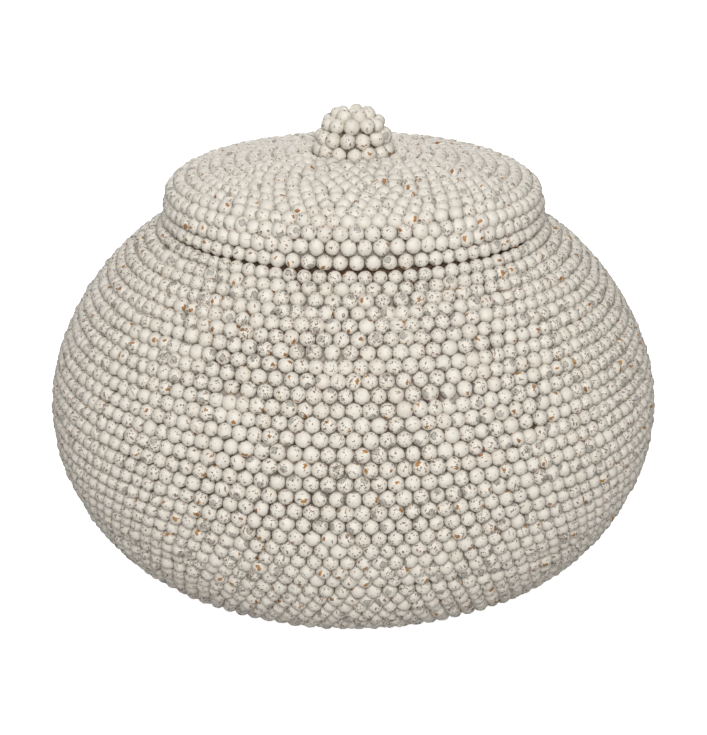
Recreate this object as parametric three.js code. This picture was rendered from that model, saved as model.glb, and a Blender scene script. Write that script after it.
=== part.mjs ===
// A squat round storage jar with a lift-off lid and a knob, covered with courses of round palm seeds.
// Each course of seeds is a strand wound once round a dark turned core. Millimetres, +Z up, origin
// at the centre of the underside.
import * as THREE from "three";

// Seeds and how they are laid
const SEED_RADIUS = 3.35;
const KNOB_SEED_RADIUS = 3.65;
const SEAT_GAP = 0.3;
const GLUE_BED = 0.5;
const CROWN_GROOVE = 1.2;
const BODY_COURSES = 35;
const LID_EDGE_COURSES = 3;
const LID_TOP_COURSES = 11;

// Body: the line through the seed centres, from the mouth over the belly to the foot
const MOUTH_COURSE = new THREE.Vector2(93.1, 170.4);
const BELLY = new THREE.Vector2(147.6, 82.1);
const FOOT_COURSE = new THREE.Vector2(89.5, 4.6);
const SHOULDER_SLOPE = THREE.MathUtils.degToRad(30);
const SHOULDER_REACH = 35;
const UPPER_BELLY_REACH = 32;
const LOWER_BELLY_REACH = 39;
const UNDERSIDE_REACH = 28.5;

// Body core: the turned vessel under the seeds
const BODY_WALL = 5;
const MOUTH_RADIUS = 80;
const NECK_RADIUS = 88.4;
const NECK_LOW_HEIGHT = 168;
const RIM_HEIGHT = 173.4;
const THROAT_HEIGHT = 165.5;

// Foot
const FOOT_RADIUS = 82;
const FELT_RADIUS = 79;
const FELT_THICKNESS = 1.4;
const FOOT_CHAMFER = 1.2;

// Lid: an upright edge that leans in a little, then a low dome
const LID_LOW_COURSE = new THREE.Vector2(90.0, 177.1);
const LID_EDGE_TOP = new THREE.Vector2(88.4, 190.2);
const LID_INNER_COURSE = new THREE.Vector2(24.2, 205.4);
const LID_SHOULDER_SLOPE = THREE.MathUtils.degToRad(51);
const LID_CROWN_SLOPE = THREE.MathUtils.degToRad(5.5);
const LID_SHOULDER_REACH = 10;
const LID_CROWN_REACH = 27;
const LID_WALL = 4.4;
const SPIGOT_CLEARANCE = 1.6;
const SPIGOT_WALL = 3.6;
const SPIGOT_DEPTH = 7;
const KNOB_SEAT_RADIUS = 18;
const KNOB_SEAT_RISE = 0.6;

// Knob: radius, height, number of seeds and half pitch of each course, from the lid upwards
const KNOB_COURSES = [
  { radius: 16.75, height: 208.1, seeds: 13, halfPitch: 3.5 },
  { radius: 15.2, height: 214.8, seeds: 12, halfPitch: 3.5 },
  { radius: 12.1, height: 221.1, seeds: 9, halfPitch: 3.1 },
  { radius: 7.9, height: 226.2, seeds: 7, halfPitch: 2.8 },
];
const TOP_SEED_RADIUS = 3.3;
const TOP_SEED_HEIGHT = 226.3;
const KNOB_CORE_RADIUS = 12.4;
const KNOB_CORE_CLEARANCE = 0.6;
const SCREW_RADIUS = 1.9;
const SCREW_HEAD_RADIUS = 5;
const SCREW_HEAD_HEIGHT = 2.2;
const SCREW_HEAD_CHAMFER = 1;
const SCREW_REACH = 14;
const SCREW_POINT = 2;
const SCREW_TIP_ROOM = 1;

// Facets round each piece
const BODY_FACETS = 32;
const LID_FACETS = 24;
const LID_CROWN_FACETS = 16;
const LID_CROWN_RADIUS = 56;
const FITTING_FACETS = 12;

const seedIvory = new THREE.MeshStandardMaterial({ color: 0xe3dccf, roughness: 0.6, metalness: 0 });
const knobIvory = new THREE.MeshStandardMaterial({ color: 0xe9e3d6, roughness: 0.5, metalness: 0 });
const coreBrown = new THREE.MeshStandardMaterial({ color: 0x3b2a1e, roughness: 0.75, metalness: 0 });
const footBrown = new THREE.MeshStandardMaterial({ color: 0x4a3526, roughness: 0.8, metalness: 0 });
const feltBrown = new THREE.MeshStandardMaterial({ color: 0x2c2420, roughness: 0.95, metalness: 0 });
const steel = new THREE.MeshStandardMaterial({ color: 0xb9b9b4, roughness: 0.35, metalness: 1 });

const jar = new THREE.Group();
const lid = new THREE.Group();
const part = new THREE.Group();
part.add(jar, lid);

function addMesh(group, name, geometry, material) {
  const mesh = new THREE.Mesh(geometry, material);
  mesh.name = name;
  group.add(mesh);
}

// Turns a profile of (radius, height) points about the upright axis.
function turned(profile, facets) {
  return new THREE.LatheGeometry(profile, facets).rotateX(Math.PI / 2);
}

function closed(profile) {
  return [...profile, profile[0]];
}

function direction(angle) {
  return new THREE.Vector2(Math.cos(angle), Math.sin(angle));
}

// The point at a distance along an outline, moved out along the outline's normal. Past an end of
// the outline, its end tangent carries on.
function offsetPoint(outline, distance, out) {
  const length = outline.getLength();
  const place = THREE.MathUtils.clamp(distance, 0, length);
  const tangent = outline.getTangent(place / length);
  const normal = new THREE.Vector2(-tangent.y, tangent.x);
  const point = outline.getPoint(place / length);
  return point.addScaledVector(normal, out).addScaledVector(tangent, distance - place);
}

// Points at equal steps along an outline, all moved out by the same amount.
function offsetLine(outline, steps, out) {
  const step = outline.getLength() / steps;
  return Array.from({ length: steps + 1 }, (_, i) => offsetPoint(outline, i * step, out));
}

// One strand of seeds lying on a core: a band with a narrower crown, as high as a seed.
function strandSection(outline, distance, pitch) {
  const foot = pitch / 2 - SEAT_GAP;
  const crown = pitch / 2 - CROWN_GROOVE;
  return closed([
    offsetPoint(outline, distance + foot, -SEED_RADIUS),
    offsetPoint(outline, distance + crown, SEED_RADIUS),
    offsetPoint(outline, distance - crown, SEED_RADIUS),
    offsetPoint(outline, distance - foot, -SEED_RADIUS),
  ]);
}

// A ring of seeds strung close together: a torus whose tube swells once for each seed.
function seedRing({ radius, height, seeds, halfPitch }) {
  const stepsPerSeed = 3;
  const sides = 6;
  const neck = 0.45;
  const ring = new THREE.TorusGeometry(radius, 1, sides, seeds * stepsPerSeed);
  const position = ring.getAttribute("position");
  const halfLength = Math.PI / seeds;
  for (let i = 0; i < position.count; i++) {
    const turn = Math.atan2(position.getY(i), position.getX(i));
    const seedTurn = THREE.MathUtils.euclideanModulo(turn + halfLength, 2 * halfLength) - halfLength;
    const swell = Math.max(neck, Math.sqrt(Math.max(0, 1 - (seedTurn / halfLength) ** 2)));
    const outward = Math.hypot(position.getX(i), position.getY(i)) - radius;
    const reach = radius + outward * KNOB_SEED_RADIUS * swell;
    position.setXYZ(
      i,
      reach * Math.cos(turn),
      reach * Math.sin(turn),
      height + position.getZ(i) * halfPitch * swell,
    );
  }
  return ring;
}

// The body's outline runs from the mouth out over the belly and back in under it.
function bodyOutline() {
  const away = direction(-SHOULDER_SLOPE);
  const down = new THREE.Vector2(0, -1);
  const inward = new THREE.Vector2(-1, 0);
  const outline = new THREE.CurvePath();
  outline.add(
    new THREE.CubicBezierCurve(
      MOUTH_COURSE,
      MOUTH_COURSE.clone().addScaledVector(away, SHOULDER_REACH),
      BELLY.clone().addScaledVector(down, -UPPER_BELLY_REACH),
      BELLY,
    ),
  );
  outline.add(
    new THREE.CubicBezierCurve(
      BELLY,
      BELLY.clone().addScaledVector(down, LOWER_BELLY_REACH),
      FOOT_COURSE.clone().addScaledVector(inward, -UNDERSIDE_REACH),
      FOOT_COURSE,
    ),
  );
  return outline;
}

function buildBodyCore(outline) {
  const outerSteps = 11;
  const innerSteps = 9;
  const skin = -SEED_RADIUS - GLUE_BED;
  const outer = offsetLine(outline, outerSteps, skin).reverse();
  const inner = offsetLine(outline, innerSteps, skin - BODY_WALL);
  const underside = outer[0].y;
  const profile = [
    new THREE.Vector2(0, underside),
    ...outer,
    new THREE.Vector2(NECK_RADIUS, NECK_LOW_HEIGHT),
    new THREE.Vector2(NECK_RADIUS, RIM_HEIGHT),
    new THREE.Vector2(MOUTH_RADIUS, RIM_HEIGHT),
    new THREE.Vector2(MOUTH_RADIUS, THROAT_HEIGHT),
    ...inner,
    new THREE.Vector2(0, inner.at(-1).y),
  ];
  addMesh(jar, "body_core", turned(profile, BODY_FACETS), coreBrown);
  return underside;
}

function buildBodyCourses(outline) {
  const pitch = outline.getLength() / (BODY_COURSES - 1);
  for (let i = 0; i < BODY_COURSES; i++) {
    const section = strandSection(outline, i * pitch, pitch);
    const name = "body_seed_course_" + String(i + 1).padStart(2, "0");
    addMesh(jar, name, turned(section, BODY_FACETS), seedIvory);
  }
}

// A disc of felt under a wooden foot, which is glued to the core's flat underside.
function buildFoot(coreUnderside) {
  const top = coreUnderside - SEAT_GAP;
  const low = FELT_THICKNESS + SEAT_GAP;
  const foot = [
    new THREE.Vector2(0, low),
    new THREE.Vector2(FOOT_RADIUS - FOOT_CHAMFER, low),
    new THREE.Vector2(FOOT_RADIUS, low + FOOT_CHAMFER),
    new THREE.Vector2(FOOT_RADIUS, top),
    new THREE.Vector2(0, top),
  ];
  addMesh(jar, "foot_disc", turned(foot, BODY_FACETS), footBrown);
  const felt = [
    new THREE.Vector2(0, 0),
    new THREE.Vector2(FELT_RADIUS, 0),
    new THREE.Vector2(FELT_RADIUS, FELT_THICKNESS),
    new THREE.Vector2(0, FELT_THICKNESS),
  ];
  addMesh(jar, "felt_pad", turned(felt, BODY_FACETS), feltBrown);
}

// The lid's outline runs from the innermost course out over the dome and down the upright edge.
function lidOutline() {
  const outward = direction(-LID_CROWN_SLOPE);
  const inward = direction(-LID_SHOULDER_SLOPE).negate();
  const outline = new THREE.CurvePath();
  outline.add(
    new THREE.CubicBezierCurve(
      LID_INNER_COURSE,
      LID_INNER_COURSE.clone().addScaledVector(outward, LID_CROWN_REACH),
      LID_EDGE_TOP.clone().addScaledVector(inward, LID_SHOULDER_REACH),
      LID_EDGE_TOP,
    ),
  );
  outline.add(new THREE.LineCurve(LID_EDGE_TOP, LID_LOW_COURSE));
  return outline;
}

// A domed shell with a flat seat at its edge and a short spigot that drops into the jar's mouth.
function buildLidCore(outline) {
  const domeSteps = 6;
  const skin = -SEED_RADIUS - GLUE_BED;
  const seat = RIM_HEIGHT + SEAT_GAP;
  const spigotRadius = MOUTH_RADIUS - SPIGOT_CLEARANCE;
  const boreRadius = spigotRadius - SPIGOT_WALL;
  const hole = SCREW_RADIUS + SEAT_GAP;
  const [domeCurve, edgeCurve] = outline.curves;
  const halfPitch = edgeCurve.getLength() / (LID_EDGE_COURSES - 1) / 2;
  const domeEnd = domeCurve.getLength() - halfPitch;
  const outer = [];
  const inner = [];
  for (let i = 0; i <= domeSteps; i++) {
    outer.push(offsetPoint(outline, (i / domeSteps) * domeEnd, skin));
    inner.push(offsetPoint(outline, (i / domeSteps) * domeEnd, skin - LID_WALL));
  }
  outer.push(offsetPoint(outline, domeEnd + 2 * halfPitch, skin));
  outer.push(offsetPoint(outline, outline.getLength(), skin));
  const crown = outer[0].y + KNOB_SEAT_RISE;
  const ceiling = crown - LID_WALL;
  const profile = [
    new THREE.Vector2(hole, ceiling),
    ...inner.filter((point) => point.x < boreRadius - LID_WALL),
    new THREE.Vector2(boreRadius, seat + LID_WALL),
    new THREE.Vector2(boreRadius, seat - SPIGOT_DEPTH),
    new THREE.Vector2(spigotRadius, seat - SPIGOT_DEPTH),
    new THREE.Vector2(spigotRadius, seat),
    new THREE.Vector2(outer.at(-1).x, seat),
    ...outer.reverse(),
    new THREE.Vector2(KNOB_SEAT_RADIUS, crown),
    new THREE.Vector2(hole, crown),
  ];
  addMesh(lid, "lid_core", turned(closed(profile), LID_FACETS), coreBrown);
  return { crown, ceiling };
}

function buildLidCourses(outline) {
  const [domeCurve, edgeCurve] = outline.curves;
  const edgePitch = edgeCurve.getLength() / (LID_EDGE_COURSES - 1);
  for (let i = 0; i < LID_EDGE_COURSES; i++) {
    const section = strandSection(outline, outline.getLength() - i * edgePitch, edgePitch);
    addMesh(lid, "lid_edge_course_" + (i + 1), turned(section, LID_FACETS), seedIvory);
  }
  const topPitch = domeCurve.getLength() / LID_TOP_COURSES;
  for (let i = 0; i < LID_TOP_COURSES; i++) {
    const distance = domeCurve.getLength() - (i + 1) * topPitch;
    const section = strandSection(outline, distance, topPitch);
    const facets = section[0].x > LID_CROWN_RADIUS ? LID_FACETS : LID_CROWN_FACETS;
    const name = "lid_top_course_" + String(i + 1).padStart(2, "0");
    addMesh(lid, name, turned(section, facets), seedIvory);
  }
}

// A turned peg that narrows upwards, with three rings of seeds round it. The fourth ring and the
// seed in its middle lie on top.
function buildKnob({ crown, ceiling }) {
  const base = crown + SEAT_GAP;
  const hole = SCREW_RADIUS + SEAT_GAP;
  const holeEnd = base + SCREW_REACH + SCREW_TIP_ROOM;
  const top = TOP_SEED_HEIGHT - TOP_SEED_RADIUS - SEAT_GAP;
  const steps = KNOB_COURSES.slice(1, -1).map(
    ({ radius, height }) =>
      new THREE.Vector2(radius - KNOB_SEED_RADIUS - KNOB_CORE_CLEARANCE, height),
  );
  const peg = [
    new THREE.Vector2(hole, base),
    new THREE.Vector2(KNOB_CORE_RADIUS, base),
    ...steps,
    new THREE.Vector2(steps.at(-1).x, top),
    new THREE.Vector2(0, top),
    new THREE.Vector2(0, holeEnd),
    new THREE.Vector2(hole, holeEnd),
  ];
  addMesh(lid, "knob_core", turned(closed(peg), FITTING_FACETS), coreBrown);
  KNOB_COURSES.forEach((course, i) => {
    addMesh(lid, "knob_seed_course_" + (i + 1), seedRing(course), knobIvory);
  });
  const topSeed = new THREE.SphereGeometry(TOP_SEED_RADIUS, FITTING_FACETS, FITTING_FACETS / 2);
  topSeed.rotateX(Math.PI / 2).translate(0, 0, TOP_SEED_HEIGHT);
  addMesh(lid, "knob_top_seed", topSeed, knobIvory);
  addMesh(lid, "knob_screw", screw(base, ceiling - SEAT_GAP), steel);
}

// A pan-head screw standing on its head, from under the lid up into the knob's peg.
function screw(pegBase, headTop) {
  const tip = pegBase + SCREW_REACH;
  const profile = [
    new THREE.Vector2(0, headTop - SCREW_HEAD_HEIGHT),
    new THREE.Vector2(SCREW_HEAD_RADIUS - SCREW_HEAD_CHAMFER, headTop - SCREW_HEAD_HEIGHT),
    new THREE.Vector2(SCREW_HEAD_RADIUS, headTop - SCREW_HEAD_HEIGHT + SCREW_HEAD_CHAMFER),
    new THREE.Vector2(SCREW_HEAD_RADIUS, headTop),
    new THREE.Vector2(SCREW_RADIUS, headTop),
    new THREE.Vector2(SCREW_RADIUS, tip - SCREW_POINT),
    new THREE.Vector2(0, tip),
  ];
  return turned(profile, FITTING_FACETS);
}

const body = bodyOutline();
buildFoot(buildBodyCore(body));
buildBodyCourses(body);

const dome = lidOutline();
const lidHeights = buildLidCore(dome);
buildLidCourses(dome);
buildKnob(lidHeights);

export default part;
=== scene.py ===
import math
import random

import bpy
import numpy as np
from mathutils import Matrix, Quaternion, Vector


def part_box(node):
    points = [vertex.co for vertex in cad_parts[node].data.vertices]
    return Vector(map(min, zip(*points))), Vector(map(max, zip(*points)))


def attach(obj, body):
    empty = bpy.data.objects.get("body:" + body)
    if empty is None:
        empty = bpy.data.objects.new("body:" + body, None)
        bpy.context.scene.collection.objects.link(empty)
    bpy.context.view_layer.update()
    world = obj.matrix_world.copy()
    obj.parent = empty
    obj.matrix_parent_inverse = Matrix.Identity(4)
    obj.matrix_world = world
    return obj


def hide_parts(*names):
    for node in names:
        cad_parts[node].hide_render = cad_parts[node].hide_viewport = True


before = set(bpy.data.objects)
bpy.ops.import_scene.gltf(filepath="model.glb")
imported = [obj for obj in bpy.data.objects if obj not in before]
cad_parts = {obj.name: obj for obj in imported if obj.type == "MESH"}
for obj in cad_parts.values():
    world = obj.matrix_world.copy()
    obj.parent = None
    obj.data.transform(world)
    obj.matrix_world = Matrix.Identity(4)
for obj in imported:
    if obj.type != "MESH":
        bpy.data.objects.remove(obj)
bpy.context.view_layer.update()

# The view
# The camera stands where the photograph was taken, in front of the jar and a little above it,
# and looks down on the lid.
view_tilt = math.radians(19.84)
view_distance = 0.8375
aim_height = 0.100
camera_data = bpy.data.cameras.new("photograph_view")
camera_data.lens = 81.2
camera_data.shift_x = 0.0002
camera_data.shift_y = -0.0122
camera = bpy.data.objects.new("photograph_view", camera_data)
camera.location = (
    0,
    -view_distance * math.cos(view_tilt),
    aim_height + view_distance * math.sin(view_tilt),
)
camera.rotation_euler = (math.radians(90) - view_tilt, 0, 0)
bpy.context.scene.collection.objects.link(camera)
bpy.context.scene.camera = camera

# The palm seed
# One dried palm seed, polished round, ivory with brown specks and often a grey moon where the germ
# was. It is modelled once, and every seed on the jar is a copy with marks of its own.
chance = random.Random(7)


def deselect_all():
    if bpy.context.mode != "OBJECT":
        bpy.ops.object.mode_set(mode="OBJECT")
    bpy.ops.object.select_all(action="DESELECT")


deselect_all()
bpy.ops.mesh.primitive_cube_add(size=2)
loose_seed = bpy.context.object
loose_seed.name = "loose_seed"
bpy.ops.object.mode_set(mode="EDIT")
bpy.ops.mesh.subdivide(number_cuts=2)
bpy.ops.transform.tosphere(value=1)
bpy.ops.object.mode_set(mode="OBJECT")
reach = loose_seed.data.vertices[0].co.length
bpy.ops.object.mode_set(mode="EDIT")
bpy.ops.transform.resize(value=(1 / reach, 1 / reach, 1 / reach))
bpy.ops.object.mode_set(mode="OBJECT")
mesh = loose_seed.data
local = mesh.attributes.new("seed_local", "FLOAT_VECTOR", "POINT")
for i, vertex in enumerate(mesh.vertices):
    local.data[i].vector = vertex.co
while mesh.uv_layers:
    mesh.uv_layers.remove(mesh.uv_layers[0])
cell = mesh.uv_layers.new(name="OFBake")
side_angle = math.radians(45)
side_reach = 0.46
for face in mesh.polygons:
    face.use_smooth = True
    axis = max(range(3), key=lambda k: abs(face.center[k]))
    column, row = axis, int(face.center[axis] > 0)
    across, along = [k for k in range(3) if k != axis]
    for loop in face.loop_indices:
        at = mesh.vertices[mesh.loops[loop].vertex_index].co
        u = 0.5 + side_reach * math.atan2(at[across], abs(at[axis])) / side_angle
        v = 0.5 + side_reach * math.atan2(at[along], abs(at[axis])) / side_angle
        cell.data[loop].uv = ((column + min(max(u, 0), 1)) / 3, (row + min(max(v, 0), 1)) / 2)


def shader_step(tree, kind, inputs=(), **settings):
    """Adds one node, with its settings and with each input linked or set in order."""
    step = tree.nodes.new("ShaderNode" + kind)
    for key, value in settings.items():
        setattr(step, key, value)
    for socket, value in zip(step.inputs, inputs):
        if isinstance(value, bpy.types.NodeSocket):
            tree.links.new(value, socket)
        elif value is not None:
            socket.default_value = value
    return step.outputs


def calculate(tree, operation, *values):
    return shader_step(tree, "Math", values, operation=operation)[0]


def on_each_axis(tree, operation, *values):
    return shader_step(tree, "VectorMath", values, operation=operation)[0]


def cloudy(tree, place, scale, detail, roughness):
    return shader_step(tree, "TexNoise", [place, None, scale, detail, roughness])


def wander(tree, place, scale, roughness):
    """Soft noise about zero, with a value of its own on each axis."""
    noise = cloudy(tree, place, scale, 2.0, roughness)["Color"]
    return on_each_axis(tree, "SUBTRACT", noise, (0.5, 0.5, 0.5))


def redrawn(tree, lot, spread):
    """One more number from 0 to 1 for each seed, made from its lot."""
    return calculate(tree, "FRACT", calculate(tree, "MULTIPLY", lot, spread))


def fade(tree, value, start, end):
    """0 at start, 1 at end, eased in between."""
    return shader_step(
        tree, "MapRange", [value, start, end, 0, 1], interpolation_type="SMOOTHSTEP"
    )[0]


def mixed(tree, share, first, second, blend="MIX"):
    """The first colour where the share is 0, the second where it is 1."""
    step = tree.nodes.new("ShaderNodeMix")
    step.data_type = "RGBA"
    step.blend_type = blend
    for name, value in (("Factor_Float", share), ("A_Color", first), ("B_Color", second)):
        socket = next(s for s in step.inputs if s.identifier == name)
        if isinstance(value, bpy.types.NodeSocket):
            tree.links.new(value, socket)
        else:
            socket.default_value = value
    return next(s for s in step.outputs if s.identifier == "Result_Color")


def new_finish(name):
    material = bpy.data.materials.new(name)
    material.use_nodes = True
    tree = material.node_tree
    return material, tree, tree.nodes["Principled BSDF"]


def roughen(tree, skin, height, strength, depth):
    """Gives a skin the bumps of a height map."""
    bump = tree.nodes.new("ShaderNodeBump")
    bump.inputs["Strength"].default_value = strength
    bump.inputs["Distance"].default_value = depth
    tree.links.new(height, bump.inputs["Height"])
    tree.links.new(bump.outputs[0], skin.inputs["Normal"])


seed_marks = bpy.data.node_groups.new("seed_marks", "ShaderNodeTree")
for name, kind in (
    ("Local", "NodeSocketVector"),
    ("Lot", "NodeSocketFloat"),
    ("Moon", "NodeSocketFloat"),
    ("Speck share", "NodeSocketFloat"),
    ("Scar share", "NodeSocketFloat"),
):
    seed_marks.interface.new_socket(name, in_out="INPUT", socket_type=kind)
for name in ("Specks", "Rust", "Moon patch", "Moon rim", "Scar", "Halo", "Cloud", "Height"):
    seed_marks.interface.new_socket(name, in_out="OUTPUT", socket_type="NodeSocketFloat")
tree = seed_marks
given = tree.nodes.new("NodeGroupInput").outputs
lot = given["Lot"]
local = on_each_axis(tree, "NORMALIZE", given["Local"])
own = [calculate(tree, "MULTIPLY", lot, spread) for spread in (37.7, 61.3, 91.1)]
place = on_each_axis(tree, "ADD", local, shader_step(tree, "CombineXYZ", own)[0])
waver = wander(tree, place, scale=2.6, roughness=0.5)
uneven = on_each_axis(tree, "MULTIPLY_ADD", waver, (0.24, 0.24, 0.24), local)
fine = wander(tree, place, scale=5.5, roughness=0.55)
ragged = on_each_axis(tree, "MULTIPLY_ADD", fine, (0.40, 0.40, 0.40), place)
dot_edge = 0.09


def dots(scale, stretch, smallest, largest, share):
    """Small dots or short streaks, each of its own size, in a share of the cells."""
    spread = on_each_axis(tree, "MULTIPLY", ragged, stretch)
    cells = shader_step(tree, "TexVoronoi", [spread, None, scale])
    spot = shader_step(tree, "SeparateColor", [cells["Color"]])
    size = calculate(tree, "MULTIPLY_ADD", spot[0], largest - smallest, smallest)
    near = calculate(tree, "SUBTRACT", size, cells["Distance"])
    solid = fade(tree, near, 0.0, dot_edge)
    there = calculate(tree, "LESS_THAN", spot[1], share)
    return calculate(tree, "MULTIPLY", solid, there), spot[2]


# Some seeds have few specks and some have many. A streak is a dot drawn out along one axis.
fewest, lot_spread, small_dots = 0.45, 1.3, 0.65
lot_share = calculate(tree, "MULTIPLY_ADD", redrawn(tree, lot, 23.1), lot_spread, fewest)
lot_share = calculate(tree, "MULTIPLY", lot_share, given["Speck share"])
small_share = calculate(tree, "MULTIPLY", lot_share, small_dots)
specks, speck_kind = dots(
    scale=4.2, stretch=(1, 1, 1), smallest=0.24, largest=0.53, share=small_share
)
streaks, _ = dots(
    scale=2.2, stretch=(0.75, 2.0, 2.0), smallest=0.36, largest=0.58, share=lot_share
)
all_specks = calculate(tree, "MAXIMUM", specks, streaks)

# The moon is a flat patch at the seed's end, inside a broken dark ring.
patch_edge, rim_edge = (0.935, 0.965), (0.875, 0.905)
upward = shader_step(tree, "SeparateXYZ", [uneven])[2]
patch = calculate(tree, "MULTIPLY", fade(tree, upward, *patch_edge), given["Moon"])
rim = calculate(tree, "MULTIPLY", fade(tree, upward, *rim_edge), given["Moon"])
rim = calculate(tree, "SUBTRACT", rim, patch)
broken = fade(tree, shader_step(tree, "SeparateXYZ", [fine])[0], -0.12, -0.02)
rim = calculate(tree, "MULTIPLY", rim, broken)

# The scar of the stalk is an oval on the seed's side, each of its own size, with a pale halo.
scar_place, scar_squeeze, scar_spread = (0.55, -0.45, -0.70), (1.0, 1.8, 1.0), 0.24
scar_edge, halo_edge = (0.47, 0.39), (0.66, 0.50)
scar_side = on_each_axis(tree, "MULTIPLY_ADD", fine, (0.5, 0.5, 0.5), uneven)
scar_side = on_each_axis(tree, "SUBTRACT", scar_side, scar_place)
scar_side = on_each_axis(tree, "MULTIPLY", scar_side, scar_squeeze)
scar_reach = shader_step(tree, "VectorMath", [scar_side], operation="LENGTH")["Value"]
scarred = calculate(tree, "LESS_THAN", redrawn(tree, lot, 17.3), given["Scar share"])
scar_size = redrawn(tree, lot, 53.9)
scar_reach = calculate(tree, "MULTIPLY_ADD", scar_size, scar_spread, scar_reach)
scar = calculate(tree, "MULTIPLY", fade(tree, scar_reach, *scar_edge), scarred)
halo = calculate(tree, "MULTIPLY", fade(tree, scar_reach, *halo_edge), scarred)

# All the marks are sunk a little into the finely grained skin.
speck_depth, moon_depth, scar_depth = 0.6, 0.5, 0.5
cloud = cloudy(tree, place, scale=1.1, detail=3.0, roughness=0.6)["Fac"]
grain = cloudy(tree, place, scale=9.0, detail=3.0, roughness=0.6)["Fac"]
height = calculate(tree, "MULTIPLY_ADD", all_specks, -speck_depth, grain)
height = calculate(tree, "MULTIPLY_ADD", patch, -moon_depth, height)
height = calculate(tree, "MULTIPLY_ADD", scar, -scar_depth, height)
told = tree.nodes.new("NodeGroupOutput").inputs
for name, value in (
    ("Specks", all_specks),
    ("Rust", speck_kind),
    ("Moon patch", patch),
    ("Moon rim", rim),
    ("Scar", scar),
    ("Halo", halo),
    ("Cloud", cloud),
    ("Height", height),
):
    tree.links.new(value, told[name])


dark_speck, rusty_speck = (0.13, 0.102, 0.082, 1), (0.24, 0.12, 0.06, 1)
dark_scar, bright_scar = (0.23, 0.11, 0.038, 1), (0.40, 0.20, 0.058, 1)
grey_moon, dark_rim = (0.27, 0.265, 0.24, 1), (0.13, 0.11, 0.09, 1)
pale_halo = (0.83, 0.78, 0.69, 1)
# Dust and painted shade in the gaps: the colour that each seed's side facing the core is darkened
# to, partly dust and partly painted shade.
gap_dust_and_painted_shade = (0.42, 0.34, 0.27, 1)
shade_and_dust_strength, shade_and_dust_start, shade_and_dust_full = 0.6, -0.3, -0.9
darkest_cloud, cloud_range = 0.80, 0.26


def seed_finish(name, pale, warm, speck_share, scar_share, roughness):
    """The polished skin of the seeds on one part of the jar."""
    material, tree, skin = new_finish(name)
    local = shader_step(tree, "Attribute", attribute_name="seed_local")["Vector"]
    lot, moon, seat = (
        shader_step(tree, "Attribute", attribute_name=name)["Fac"]
        for name in ("lot", "moon", "seat")
    )
    marks = tree.nodes.new("ShaderNodeGroup")
    marks.node_tree = seed_marks
    for socket, value in zip(marks.inputs, (local, lot, moon)):
        tree.links.new(value, socket)
    marks.inputs["Speck share"].default_value = speck_share
    marks.inputs["Scar share"].default_value = scar_share
    seen = marks.outputs
    colour = mixed(tree, fade(tree, redrawn(tree, lot, 7.9), 0.55, 1.0), pale, warm)
    shade = calculate(tree, "MULTIPLY_ADD", seen["Cloud"], cloud_range, darkest_cloud)
    shade = shader_step(tree, "CombineColor", [shade, shade, shade])[0]
    colour = mixed(tree, 1.0, colour, shade, "MULTIPLY")
    speck_colour = mixed(tree, fade(tree, seen["Rust"], 0.5, 0.75), dark_speck, rusty_speck)
    scar_colour = mixed(tree, fade(tree, seen["Cloud"], 0.40, 0.62), dark_scar, bright_scar)
    for mark, strength, mark_colour in (
        ("Halo", 0.5, pale_halo),
        ("Moon rim", 0.8, dark_rim),
        ("Moon patch", 0.68, grey_moon),
        ("Specks", 0.95, speck_colour),
        ("Scar", 1.0, scar_colour),
    ):
        share = calculate(tree, "MULTIPLY", seen[mark], strength)
        colour = mixed(tree, share, colour, mark_colour)
    # Painted shade and dust: each seed is darkened on the side that faces the core, down in the
    # gaps between the seeds. Part of this is dust and part is painted shade.
    gap_shade_and_dust = calculate(tree, "MULTIPLY", fade(tree, seat, shade_and_dust_start, shade_and_dust_full), shade_and_dust_strength)
    colour = mixed(tree, gap_shade_and_dust, colour, gap_dust_and_painted_shade)
    tree.links.new(colour, skin.inputs["Base Color"])
    dull = calculate(tree, "MULTIPLY_ADD", seen["Cloud"], 0.16, roughness - 0.08)
    tree.links.new(dull, skin.inputs["Roughness"])
    roughen(tree, skin, seen["Height"], strength=0.35, depth=0.0003)
    skin.inputs["Specular IOR Level"].default_value = 0.35
    return material


def ring_through(node):
    """The radius and the height of the ring that runs through the middle of a course."""
    spots = {
        (round(math.hypot(v.co.x, v.co.y), 5), round(v.co.z, 5))
        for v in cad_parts[node].data.vertices
    }
    return sum(spot[0] for spot in spots) / len(spots), sum(spot[1] for spot in spots) / len(spots)


class Course:
    """One strand of seeds: the ring through their centres, and where each seed sits along it."""

    def __init__(self, node, count, first_turn):
        self.node = node
        self.radius, self.height = ring_through(node)
        self.turns = first_turn + np.arange(count) * 2 * math.pi / count
        self.rises = np.zeros(count)

    def nudge(self, slip, radius=None):
        """Slips each seed along the strand by a random distance."""
        slips = np.array([chance.gauss(0, slip) for _ in self.turns])
        self.turns += slips / (radius or self.radius)


def wrapped(turns):
    return (turns + math.pi) % (2 * math.pi) - math.pi


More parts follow.
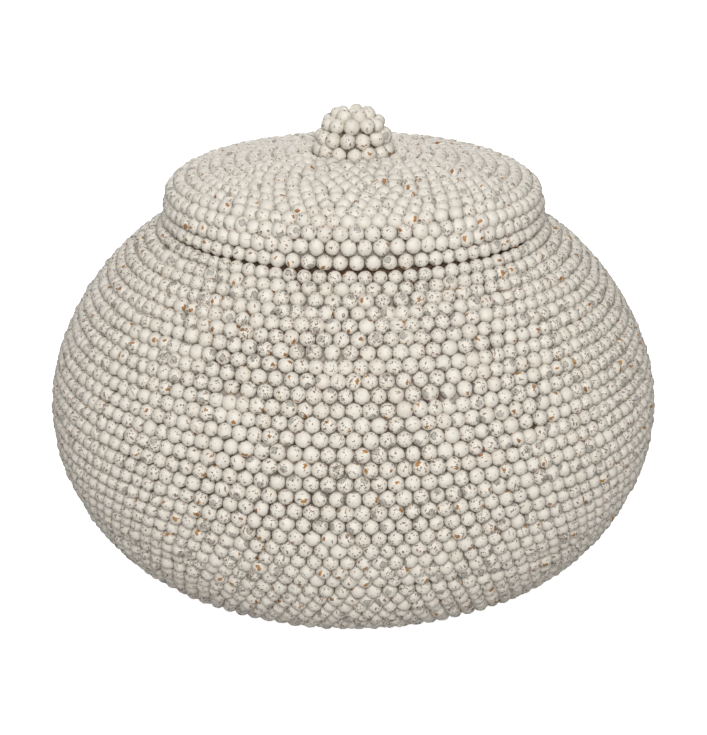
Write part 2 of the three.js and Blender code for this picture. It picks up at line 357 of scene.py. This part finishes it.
def settle(courses, spacing=0.0068, rounds=40):
    """Lets the seeds slip into the hollows of the next strand, and apart where they overlap."""
    tightest, loosest = spacing * 0.985, spacing * 1.07
    springback, highest = 0.96, 0.0005
    upper_slip, lower_slip = 0.14, 0.07
    for _ in range(rounds):
        for course in courses:
            after = np.roll(course.turns, -1)
            gap = wrapped(after - course.turns) * course.radius
            push = ((tightest - gap).clip(0) - (gap - loosest).clip(0)) / 4
            course.turns += (np.roll(push, 1) - push) / course.radius
            course.rises *= springback
        for upper, lower in zip(courses, courses[1:]):
            step = math.hypot(upper.radius - lower.radius, upper.height - lower.height)
            mean_radius = (upper.radius + lower.radius) / 2
            order = np.argsort(lower.turns % (2 * math.pi))
            around = (lower.turns % (2 * math.pi))[order]
            spot = np.searchsorted(around, upper.turns % (2 * math.pi))
            beside_it = [order[(spot + side) % len(order)] for side in (0, -1)]
            hollow = sum(wrapped(upper.turns - lower.turns[other]) for other in beside_it) / 2
            hollow *= (1 - 2 * abs(hollow) * mean_radius / spacing).clip(0)
            upper.turns -= upper_slip * hollow
            for other in beside_it:
                np.add.at(lower.turns, other, lower_slip * hollow)
            for other in beside_it:
                along = wrapped(upper.turns - lower.turns[other]) * mean_radius
                across = step + upper.rises - lower.rises[other]
                length = np.hypot(along, across)
                push = (spacing - length).clip(0) / 4
                slide = push * along / length / mean_radius
                lift = push * across / length
                upper.turns += slide
                upper.rises += lift
                np.add.at(lower.turns, other, -slide)
                np.add.at(lower.rises, other, -lift)
        for course in courses:
            course.rises = course.rises.clip(-highest, highest)


def directions(courses, i):
    """The way down the courses and the way out of them, as (radial, upright) pairs."""
    before, after = courses[max(i - 1, 0)], courses[min(i + 1, len(courses) - 1)]
    radial, upright = after.radius - before.radius, after.height - before.height
    length = math.hypot(radial, upright)
    return (radial / length, upright / length), (-upright / length, radial / length)


size_spread = 0.027
least_girth, most_girth = 0.95, 1.05
deepest, shallowest = -0.00025, 0.00015
cell_margin = 0.02


def own_shape(size, taller):
    """How far one seed reaches along the strand, across it and out of it."""
    own_size = size * chance.gauss(1, size_spread)
    girth = Matrix.Diagonal([own_size * chance.uniform(least_girth, most_girth) for _ in range(3)])
    girth[1][1] *= taller
    return girth


def string_seeds(courses, which, body, size, finish, moon_share, taller=1.0):
    """Copies seeds along a course, turns each its own way, and joins them into one strand."""
    course = courses[which]
    along, outward = directions(courses, which)
    copies = []
    columns = math.ceil(math.sqrt(len(course.turns)))
    for i, turn in enumerate(course.turns):
        seed = loose_seed.copy()
        seed.data = loose_seed.data.copy()
        turned = Quaternion([chance.gauss(0, 1) for _ in range(4)]).normalized().to_matrix()
        girth = own_shape(size, taller)
        radial = Vector((math.sin(turn), -math.cos(turn), 0))
        round_way = Vector((math.cos(turn), math.sin(turn), 0))
        down = radial * along[0] + Vector((0, 0, along[1]))
        out = radial * outward[0] + Vector((0, 0, outward[1]))
        seated = Matrix((round_way, down, out)).transposed()
        centre = radial * course.radius + Vector((0, 0, course.height))
        centre += -down * course.rises[i] + out * chance.uniform(deepest, shallowest)
        points = np.array([v.co for v in seed.data.vertices])
        seat = (points @ np.array(turned).T)[:, 2]
        shape = seated @ girth @ turned
        seed.data.transform(Matrix.Translation(centre) @ shape.to_4x4())
        for name, value in (
            ("lot", chance.random()),
            ("moon", float(chance.random() < moon_share)),
            ("seat", seat),
        ):
            values = seed.data.attributes.new(name, "FLOAT", "POINT").data
            values.foreach_set("value", np.full(len(points), value, np.float32))
        cell = seed.data.uv_layers["OFBake"].data
        uv = np.zeros(len(cell) * 2, np.float32)
        cell.foreach_get("uv", uv)
        corner = np.array([i % columns, i // columns])
        uv = (uv.reshape(-1, 2) * (1 - 2 * cell_margin) + cell_margin + corner) / columns
        cell.foreach_set("uv", uv.ravel())
        bpy.context.scene.collection.objects.link(seed)
        copies.append(seed)
    deselect_all()
    for seed in copies:
        seed.select_set(True)
    bpy.context.view_layer.objects.active = copies[0]
    bpy.ops.object.join()
    strand = bpy.context.object
    strand.name = course.node + "_seeds"
    strand.data.name = strand.name
    strand.data.materials.clear()
    strand.data.materials.append(finish)
    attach(strand, body)
    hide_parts(course.node)


# The strands round the body
# 35 strands of seeds, glued level round the core from the mouth down to the foot. Each is pressed
# into the hollows of the one above it, and its ends meet at the front.
body_seed_size = 0.00371
body_finish = seed_finish(
    "speckled_palm_seed",
    pale=(0.72, 0.675, 0.60, 1),
    warm=(0.70, 0.65, 0.565, 1),
    speck_share=0.20,
    scar_share=0.75,
    roughness=0.52,
)
# How many strands in a row have the same number of seeds, and that number, from the mouth down.
like_strands = [(3, 87), (4, 103), (3, 115), (3, 123), (3, 127), (8, 130)]
like_strands += [(3, 121), (2, 111), (2, 104), (2, 97), (2, 89)]
body_counts = [count for strands, count in like_strands for _ in range(strands)]
body_courses = []
most_turn, turn_slip = 0.05, 0.002
body_slip = 0.00022
join_width, join_slip, join_rise = 0.10, 0.0006, 0.0005
for i, count in enumerate(body_counts):
    if i == 0 or count != body_counts[i - 1]:
        turn = chance.uniform(-most_turn, most_turn)
    else:
        turn += math.pi / count + chance.gauss(0, turn_slip)
    course = Course(f"body_seed_course_{i + 1:02d}", count, turn)
    course.nudge(body_slip)
    near_join = np.exp(-((wrapped(course.turns) / join_width) ** 2))
    slips = np.array([chance.gauss(0, join_slip) for _ in range(count)])
    course.turns += near_join * slips / course.radius
    course.rises += near_join * np.array([chance.gauss(0, join_rise) for _ in range(count)])
    body_courses.append(course)
mouth_lift, mouth_size = 0.0005, 0.92
body_moons = 0.95
body_courses[0].height += mouth_lift
settle(body_courses)
for i in range(len(body_courses)):
    size = body_seed_size * (mouth_size if i == 0 else 1)
    string_seeds(body_courses, i, "jar", size, body_finish, body_moons)

# The strands on the lid
# Three strands stand one on another round the lid's edge, and eleven more close in over the top.
# The seeds are the whitest of the lot and have few specks.
lid_seed_size = 0.00374
lid_finish = seed_finish(
    "white_palm_seed",
    pale=(0.735, 0.69, 0.615, 1),
    warm=(0.71, 0.66, 0.58, 1),
    speck_share=0.10,
    scar_share=0.80,
    roughness=0.5,
)
lid_courses = []
edge_courses, edge_count = 3, 81
top_courses, top_pitch = 11, 0.0069
for i in range(edge_courses):
    first_turn = 0.02 + i * math.pi / edge_count
    lid_courses.append(Course(f"lid_edge_course_{i + 1}", edge_count, first_turn))
for i in range(top_courses):
    node = f"lid_top_course_{i + 1:02d}"
    count = round(2 * math.pi * ring_through(node)[0] / top_pitch)
    lid_courses.append(Course(node, count, chance.uniform(0, 1)))
lid_slip = 0.0002
for course in lid_courses:
    course.nudge(lid_slip)
lid_courses.reverse()
crown_drop, lowest_drop = 0.0008, 0.0002
lowest_size, edge_taller = 0.97, 1.05
lid_moons = 0.4
lid_courses[0].height -= crown_drop
lid_courses[-1].height -= lowest_drop
settle(lid_courses)
for i, course in enumerate(lid_courses):
    lowest = course is lid_courses[-1]
    size = lid_seed_size * (lowest_size if lowest else 1)
    taller = edge_taller if "edge" in course.node and not lowest else 1.0
    string_seeds(lid_courses, i, "lid", size, lid_finish, lid_moons, taller)

# The knob
# Three rings of larger seeds climb a turned peg. A fourth ring and one seed in its middle lie on
# top. They are glued like the others, and handling has polished them.
knob_seed_size = 0.00385
knob_finish = seed_finish(
    "polished_palm_seed",
    pale=(0.78, 0.73, 0.645, 1),
    warm=(0.75, 0.695, 0.605, 1),
    speck_share=0.08,
    scar_share=0.4,
    roughness=0.45,
)
# Each ring's node, its number of seeds, its radius, its height, and where its first seed sits.
knob_rings = [
    ("knob_seed_course_1", 14, 0.0164, 0.2080, 0.02),
    ("knob_seed_course_2", 13, 0.0151, 0.2145, -0.17),
    ("knob_seed_course_3", 10, 0.0119, 0.2206, -0.08),
    ("knob_seed_course_4", 7, 0.0079, 0.2248, 0.30),
    ("knob_top_seed", 1, 0.0004, 0.2249, 0.0),
]
knob_courses = []
knob_slip, knob_rise = 0.0003, 0.0002
least_radius = 0.005
for node, count, radius, height, first in knob_rings:
    course = Course(node, count, first)
    course.radius, course.height = radius, height
    course.nudge(knob_slip, max(radius, least_radius))
    course.rises += np.array([chance.gauss(0, knob_rise) for _ in range(count)])
    knob_courses.append(course)
knob_courses.reverse()
inner_radius, inner_size = 0.01, 0.95
knob_moons, knob_taller = 0.3, 1.04
for i, course in enumerate(knob_courses):
    size = knob_seed_size * (inner_size if course.radius < inner_radius else 1)
    string_seeds(knob_courses, i, "lid", size, knob_finish, knob_moons, knob_taller)

bpy.data.objects.remove(loose_seed)

# The turned core of the body
# A thin-walled vessel turned from dark stained wood, with a short neck that the lid's edge rests
# on. Only its rim, its inside and the slits between the seeds can be seen.
seat_depth = 0.0029
wall = 0.005
grain_stretch = (14, 14, 90)


def turn_on_lathe(name, profile, steps=128):
    """Draws half a section point by point and spins it once round the upright axis."""
    deselect_all()
    bpy.ops.mesh.primitive_plane_add(size=0.001)
    piece = bpy.context.object
    piece.name = name
    bpy.ops.object.mode_set(mode="EDIT")
    bpy.ops.mesh.select_mode(type="VERT")
    bpy.ops.mesh.select_all(action="SELECT")
    bpy.ops.mesh.merge(type="CENTER")
    bpy.ops.transform.translate(value=(profile[0][0], 0, profile[0][1]))
    for (r0, z0), (r1, z1) in zip(profile, profile[1:]):
        bpy.ops.mesh.extrude_region_move(TRANSFORM_OT_translate={"value": (r1 - r0, 0, z1 - z0)})
    bpy.ops.mesh.select_all(action="SELECT")
    bpy.ops.mesh.spin(steps=steps, angle=2 * math.pi, center=(0, 0, 0), axis=(0, 0, 1))
    bpy.ops.mesh.select_all(action="SELECT")
    bpy.ops.mesh.remove_doubles(threshold=0.00001)
    bpy.ops.mesh.normals_make_consistent(inside=False)
    bpy.ops.object.mode_set(mode="OBJECT")
    bpy.ops.object.shade_smooth_by_angle(angle=math.radians(32))
    return piece


def stained_wood(name, light, dark, roughness, ring_pitch):
    """Turned wood under dark stain: long grain, faint tool rings, and a dull wax."""
    material, tree, skin = new_finish(name)
    place = shader_step(tree, "TexCoord")["Object"]
    stretched = on_each_axis(tree, "MULTIPLY", place, grain_stretch)
    grain = cloudy(tree, stretched, scale=3.0, detail=5.0, roughness=0.6)["Fac"]
    apart = shader_step(tree, "SeparateXYZ", [place])
    squares = [calculate(tree, "MULTIPLY", apart[k], apart[k]) for k in range(2)]
    reach = calculate(tree, "SQRT", calculate(tree, "ADD", *squares))
    travel = calculate(tree, "ADD", reach, apart[2])
    turns = calculate(tree, "MULTIPLY", travel, 2 * math.pi / ring_pitch)
    tool_rings = calculate(tree, "SINE", turns)
    colour = mixed(tree, fade(tree, grain, 0.3, 0.7), dark, light)
    tree.links.new(colour, skin.inputs["Base Color"])
    dull = calculate(tree, "MULTIPLY_ADD", grain, 0.2, roughness - 0.1)
    tree.links.new(dull, skin.inputs["Roughness"])
    skin.inputs["Specular IOR Level"].default_value = 0.12
    height = calculate(tree, "MULTIPLY_ADD", tool_rings, 0.25, grain)
    roughen(tree, skin, height, strength=0.3, depth=0.0002)
    return material


def beside(courses, depth):
    """Points at a depth under a run of courses."""
    points = []
    for i, course in enumerate(courses):
        _, outward = directions(courses, i)
        points.append((course.radius - outward[0] * depth, course.height - outward[1] * depth))
    return points


def put_in_place(piece, node, body, finish):
    piece.data.materials.clear()
    piece.data.materials.append(finish)
    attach(piece, body)
    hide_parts(node)


core_finish = stained_wood(
    "dark_stained_wood",
    light=(0.15, 0.095, 0.062, 1),
    dark=(0.085, 0.052, 0.034, 1),
    roughness=0.8,
    ring_pitch=0.0021,
)
dusty_glue, bare_glue = (0.46, 0.40, 0.34, 1), (0.15, 0.10, 0.068, 1)
glue_finish, tree, skin = new_finish("dusty_glue")
place = shader_step(tree, "TexCoord")["Object"]
cover = cloudy(tree, place, scale=170.0, detail=3.0, roughness=0.6)["Fac"]
glue_colour = mixed(tree, fade(tree, cover, 0.47, 0.62), dusty_glue, bare_glue)
tree.links.new(glue_colour, skin.inputs["Base Color"])
skin.inputs["Roughness"].default_value = 0.8
skin.inputs["Specular IOR Level"].default_value = 0.2
jar_middle = Vector((0, 0, 0.1))


def spread_glue(core, lowest, highest):
    """Coats the core's outer faces between two heights, where the seeds are bedded."""
    core.data.materials.append(glue_finish)
    for face in core.data.polygons:
        outer = face.normal.dot(face.center - jar_middle) > 0
        face.material_index = int(outer and lowest < face.center.z < highest)


core_low, core_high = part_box("body_core")
outside = beside(body_courses, seat_depth)
inside = beside(body_courses, seat_depth + wall)
neck, neck_foot, glue_top = 0.0884, 0.168, 0.1685
mouth, throat = 0.080, 0.1655
edge = 0.0006
body_profile = (
    [(0, core_low.z)]
    + [(r, max(z, core_low.z)) for r, z in reversed(outside)]
    + [
        (neck, neck_foot),
        (neck, core_high.z - edge),
        (neck - edge, core_high.z),
        (mouth + edge, core_high.z),
        (mouth, core_high.z - edge),
        (mouth, throat),
    ]
    + inside
    + [(0, inside[-1][1])]
)
body_core = turn_on_lathe("turned_body", body_profile)
put_in_place(body_core, "body_core", "jar", core_finish)
spread_glue(body_core, core_low.z, glue_top)

# The foot and its felt
# A thin wooden disc closes the core's underside, and a disc of felt is glued under it.
foot_finish = stained_wood(
    "foot_wood",
    light=(0.11, 0.062, 0.034, 1),
    dark=(0.055, 0.030, 0.017, 1),
    roughness=0.65,
    ring_pitch=0.003,
)
worn, rounding = 0.0004, 0.0012
foot_low, foot_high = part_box("foot_disc")
foot = turn_on_lathe(
    "foot_plate",
    [
        (0, foot_low.z),
        (foot_high.x - rounding, foot_low.z),
        (foot_high.x - worn, foot_low.z + worn),
        (foot_high.x, foot_low.z + rounding),
        (foot_high.x, foot_high.z),
        (0, foot_high.z),
    ],
)
put_in_place(foot, "foot_disc", "jar", foot_finish)
_, felt_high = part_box("felt_pad")
felt = turn_on_lathe(
    "felt_disc",
    [
        (0, 0),
        (felt_high.x - 0.0005, 0),
        (felt_high.x, worn),
        (felt_high.x - 0.0001, felt_high.z),
        (0, felt_high.z),
    ],
)
felt_finish, tree, skin = new_finish("brown_felt")
dark_fibre, light_fibre = (0.020, 0.014, 0.011, 1), (0.048, 0.036, 0.029, 1)
place = shader_step(tree, "TexCoord")["Object"]
fibre = cloudy(tree, place, scale=900.0, detail=4.0, roughness=0.7)["Fac"]
tuft = cloudy(tree, place, scale=120.0, detail=2.0, roughness=0.5)["Fac"]
felt_colour = mixed(tree, fade(tree, fibre, 0.35, 0.65), dark_fibre, light_fibre)
tree.links.new(felt_colour, skin.inputs["Base Color"])
skin.inputs["Roughness"].default_value = 0.95
roughen(tree, skin, calculate(tree, "ADD", fibre, tuft), strength=0.6, depth=0.0003)
put_in_place(felt, "felt_pad", "jar", felt_finish)

# The turned core of the lid
# A domed shell of the same wood. Its edge rests on the jar's neck, and a short spigot keeps it
# centred in the mouth.
lid_low, lid_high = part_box("lid_core")
dome_outside = beside(lid_courses, seat_depth)
spigot, bore = 0.0784, 0.0748
seat = core_high.z + 0.0003
lid_wall = 0.0044
ceiling = lid_high.z - lid_wall
dome_inside = beside(lid_courses, seat_depth + lid_wall)
dome_inside = [point for point in dome_inside if point[0] < bore - lid_wall]
screw_hole = 0.0022
crown = 0.018
lid_profile = (
    [(screw_hole, ceiling)]
    + dome_inside
    + [
        (bore, seat + lid_wall),
        (bore, lid_low.z + edge),
        (bore + edge, lid_low.z),
        (spigot - edge, lid_low.z),
        (spigot, lid_low.z + edge),
        (spigot, seat),
        (dome_outside[-1][0], seat),
    ]
    + list(reversed(dome_outside))
    + [(crown, lid_high.z), (screw_hole, lid_high.z), (screw_hole, ceiling)]
)
lid_core = turn_on_lathe("turned_lid", lid_profile)
put_in_place(lid_core, "lid_core", "lid", core_finish)
spread_glue(lid_core, seat, lid_high.z + edge)

# The knob's peg and its screw
# A small turned peg carries the knob's seeds. A pan-head screw from under the lid holds it.
peg_low, peg_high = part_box("knob_core")
peg = turn_on_lathe(
    "knob_peg",
    [
        (0, peg_low.z),
        (0.0118, peg_low.z),
        (0.0124, peg_low.z + edge),
        (0.0109, 0.2148),
        (0.0078, 0.2211),
        (0.0072, peg_high.z - edge),
        (0.0060, peg_high.z),
        (0, peg_high.z),
    ],
    steps=48,
)
put_in_place(peg, "knob_core", "lid", core_finish)
spread_glue(peg, peg_low.z, peg_high.z + edge)
screw_low, screw_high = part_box("knob_screw")
head, head_radius = 0.0022, 0.0050
shank, point = 0.0019, 0.002
screw = turn_on_lathe(
    "pan_head_screw",
    [
        (0, screw_low.z),
        (0.0030, screw_low.z + 0.0001),
        (0.0044, screw_low.z + 0.0006),
        (head_radius, screw_low.z + 0.0014),
        (head_radius, screw_low.z + head),
        (shank, screw_low.z + head),
        (shank, screw_high.z - point),
        (0, screw_high.z),
    ],
    steps=48,
)
steel, tree, skin = new_finish("plated_steel")
skin.inputs["Metallic"].default_value = 1
place = shader_step(tree, "TexCoord")["Object"]
smear = cloudy(tree, place, scale=400.0, detail=3.0, roughness=0.6)["Fac"]
steel_colour = mixed(tree, smear, (0.40, 0.39, 0.37, 1), (0.56, 0.55, 0.53, 1))
tree.links.new(steel_colour, skin.inputs["Base Color"])
tree.links.new(calculate(tree, "MULTIPLY_ADD", smear, 0.25, 0.22), skin.inputs["Roughness"])
put_in_place(screw, "knob_screw", "lid", steel)

# The studio
# A pale floor that runs on out of sight, and wide soft lights above, in front and behind, as for
# a catalogue photograph on a white ground.
deselect_all()
bpy.ops.mesh.primitive_plane_add(size=60)
floor = bpy.context.object
floor.name = "studio_floor"
floor_finish, tree, skin = new_finish("studio_paper")
skin.inputs["Base Color"].default_value = (0.50, 0.50, 0.50, 1)
skin.inputs["Roughness"].default_value = 0.9
white, paper_glow = (1, 1, 1, 1), 0.96
path = shader_step(tree, "LightPath")
glow = calculate(tree, "MULTIPLY", path["Is Camera Ray"], paper_glow)
tree.links.new(glow, skin.inputs["Emission Strength"])
skin.inputs["Emission Color"].default_value = white
floor.data.materials.append(floor_finish)

world = bpy.data.worlds.new("studio_air")
bpy.context.scene.world = world
world.use_nodes = True
tree = world.node_tree
air = tree.nodes["Background"]
air.inputs["Color"].default_value = white
soft_fill = 0.125
path = shader_step(tree, "LightPath")
seen_white = calculate(tree, "MAXIMUM", path["Is Camera Ray"], path["Is Glossy Ray"])
brightness = calculate(tree, "MULTIPLY_ADD", seen_white, 1 - soft_fill, soft_fill)
tree.links.new(brightness, air.inputs["Strength"])


def soft_light(name, place, width, power):
    """A square lamp that is turned to the middle of the jar."""
    data = bpy.data.lights.new(name, "AREA")
    data.shape = "SQUARE"
    data.size = width
    data.energy = power
    light = bpy.data.objects.new(name, data)
    light.location = place
    light.rotation_mode = "QUATERNION"
    light.rotation_quaternion = (jar_middle - Vector(place)).to_track_quat("-Z", "Y")
    bpy.context.scene.collection.objects.link(light)


soft_light("overhead_box", place=(-0.1, -0.5, 1.4), width=1.2, power=4.8)
soft_light("front_box", place=(0.02, -0.88, 0.56), width=0.4, power=7.3)
soft_light("back_box", place=(-0.1, 1.5, 0.45), width=1.0, power=15)

bpy.context.scene.view_settings.view_transform = "Standard"
